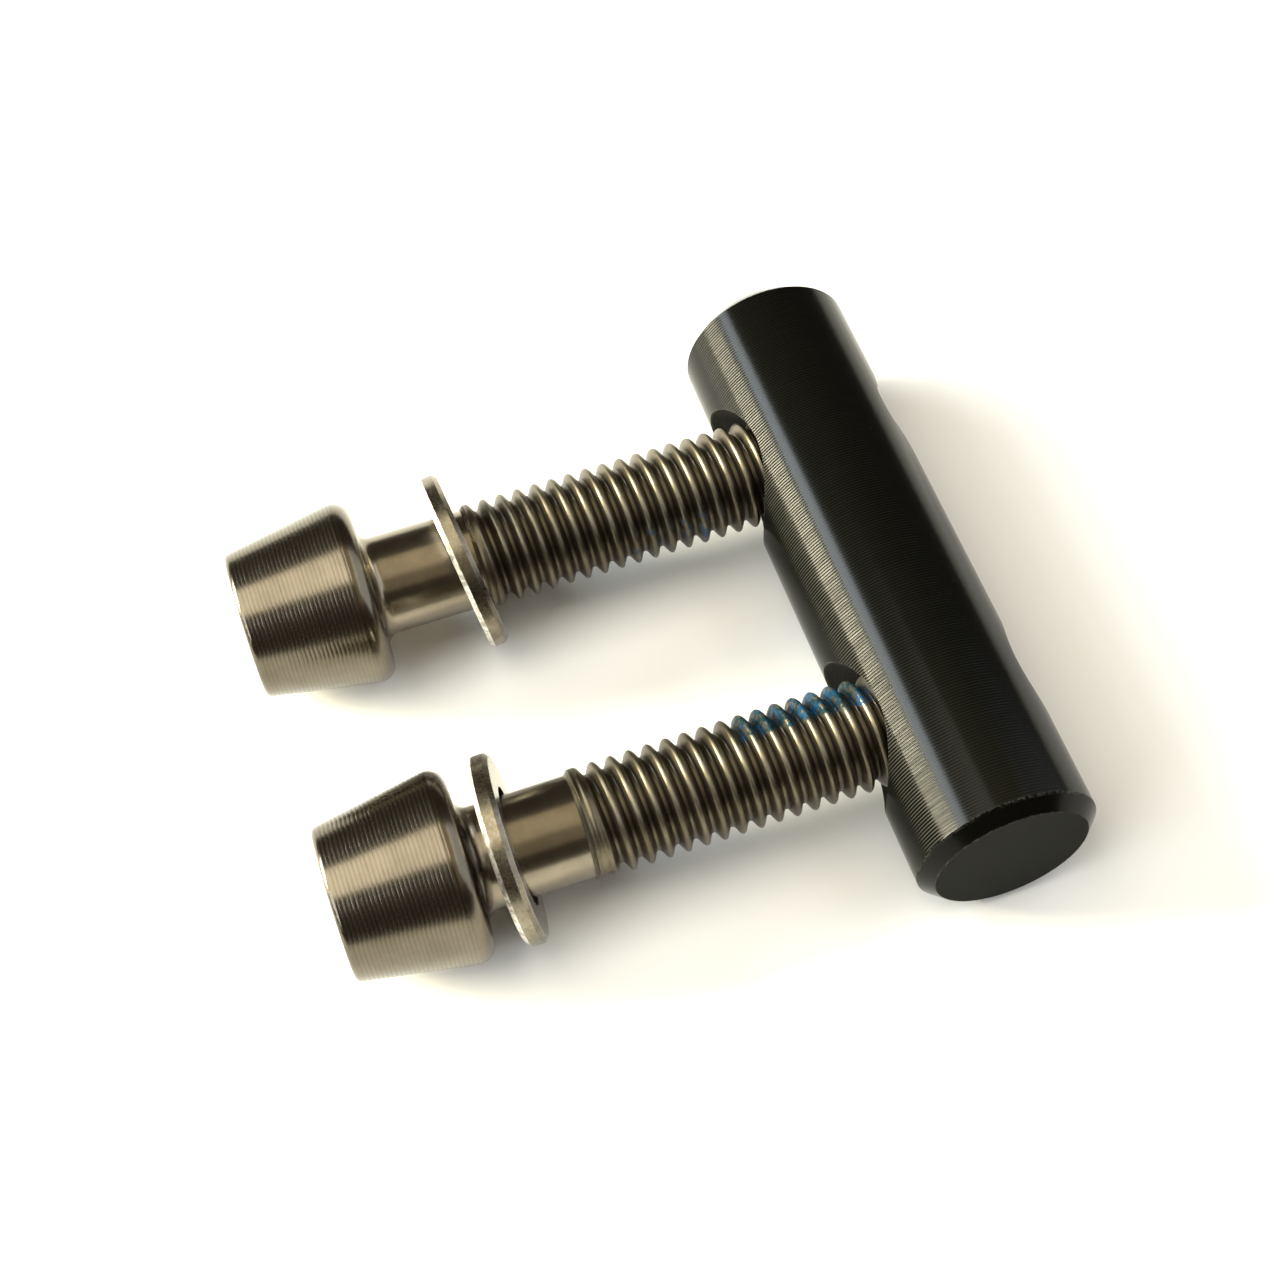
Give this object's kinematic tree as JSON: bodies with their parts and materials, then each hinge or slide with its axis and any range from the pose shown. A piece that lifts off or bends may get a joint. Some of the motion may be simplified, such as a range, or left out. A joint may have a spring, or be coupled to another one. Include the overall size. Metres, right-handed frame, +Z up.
{
  "type": "twin bolt cross barrel clamp set",
  "caption": "Cross barrel nut with cone-headed socket screws threaded across it and a loose flat washer on each, for drawing a split clamp shut.",
  "frame": {"origin": "middle of the cross barrel, on its axis", "axes": "+Y along the barrel towards the rear bolt, -X along both bolts towards their heads, +Z up"},
  "size_m": [0.0385, 0.0364, 0.0102],
  "materials": {
    "barrel_black": "satin black anodised, fine turning lines",
    "bolt_metal": "turned titanium, warm grey, satin",
    "washer_metal": "plain stamped titanium, slightly mottled"
  },
  "bodies": {
    "cross_barrel": {"cross_barrel": "barrel_black"},
    "front_washer": {"front_washer": "washer_metal"},
    "front_bolt": {"front_bolt": "bolt_metal"},
    "rear_washer": {"rear_washer": "washer_metal"},
    "rear_bolt": {"rear_bolt": "bolt_metal"}
  },
  "joints": [
    {"name": "front_travel", "type": "slide", "parent": "cross_barrel", "child": "front_washer", "axis": [-1, 0, 0], "range_m": [-0.014, 0.007]},
    {"name": "front_turn", "type": "hinge", "parent": "front_washer", "child": "front_bolt", "pos_m": [-0.0331, -0.009, 0], "axis": [-1, 0, 0], "range_deg": [-5040, 2520]},
    {"name": "rear_travel", "type": "slide", "parent": "cross_barrel", "child": "rear_washer", "axis": [-1, 0, 0], "range_m": [-0.014, 0.007]},
    {"name": "rear_turn", "type": "hinge", "parent": "rear_washer", "child": "rear_bolt", "pos_m": [-0.03355, 0.009, 0], "axis": [-1, 0, 0], "range_deg": [-5040, 2520]}
  ],
  "couplings": [
    {"joint": "front_turn", "follows": "front_travel", "rad_per_m": 6283.2},
    {"joint": "rear_turn", "follows": "rear_travel", "rad_per_m": 6283.2}
  ]
}
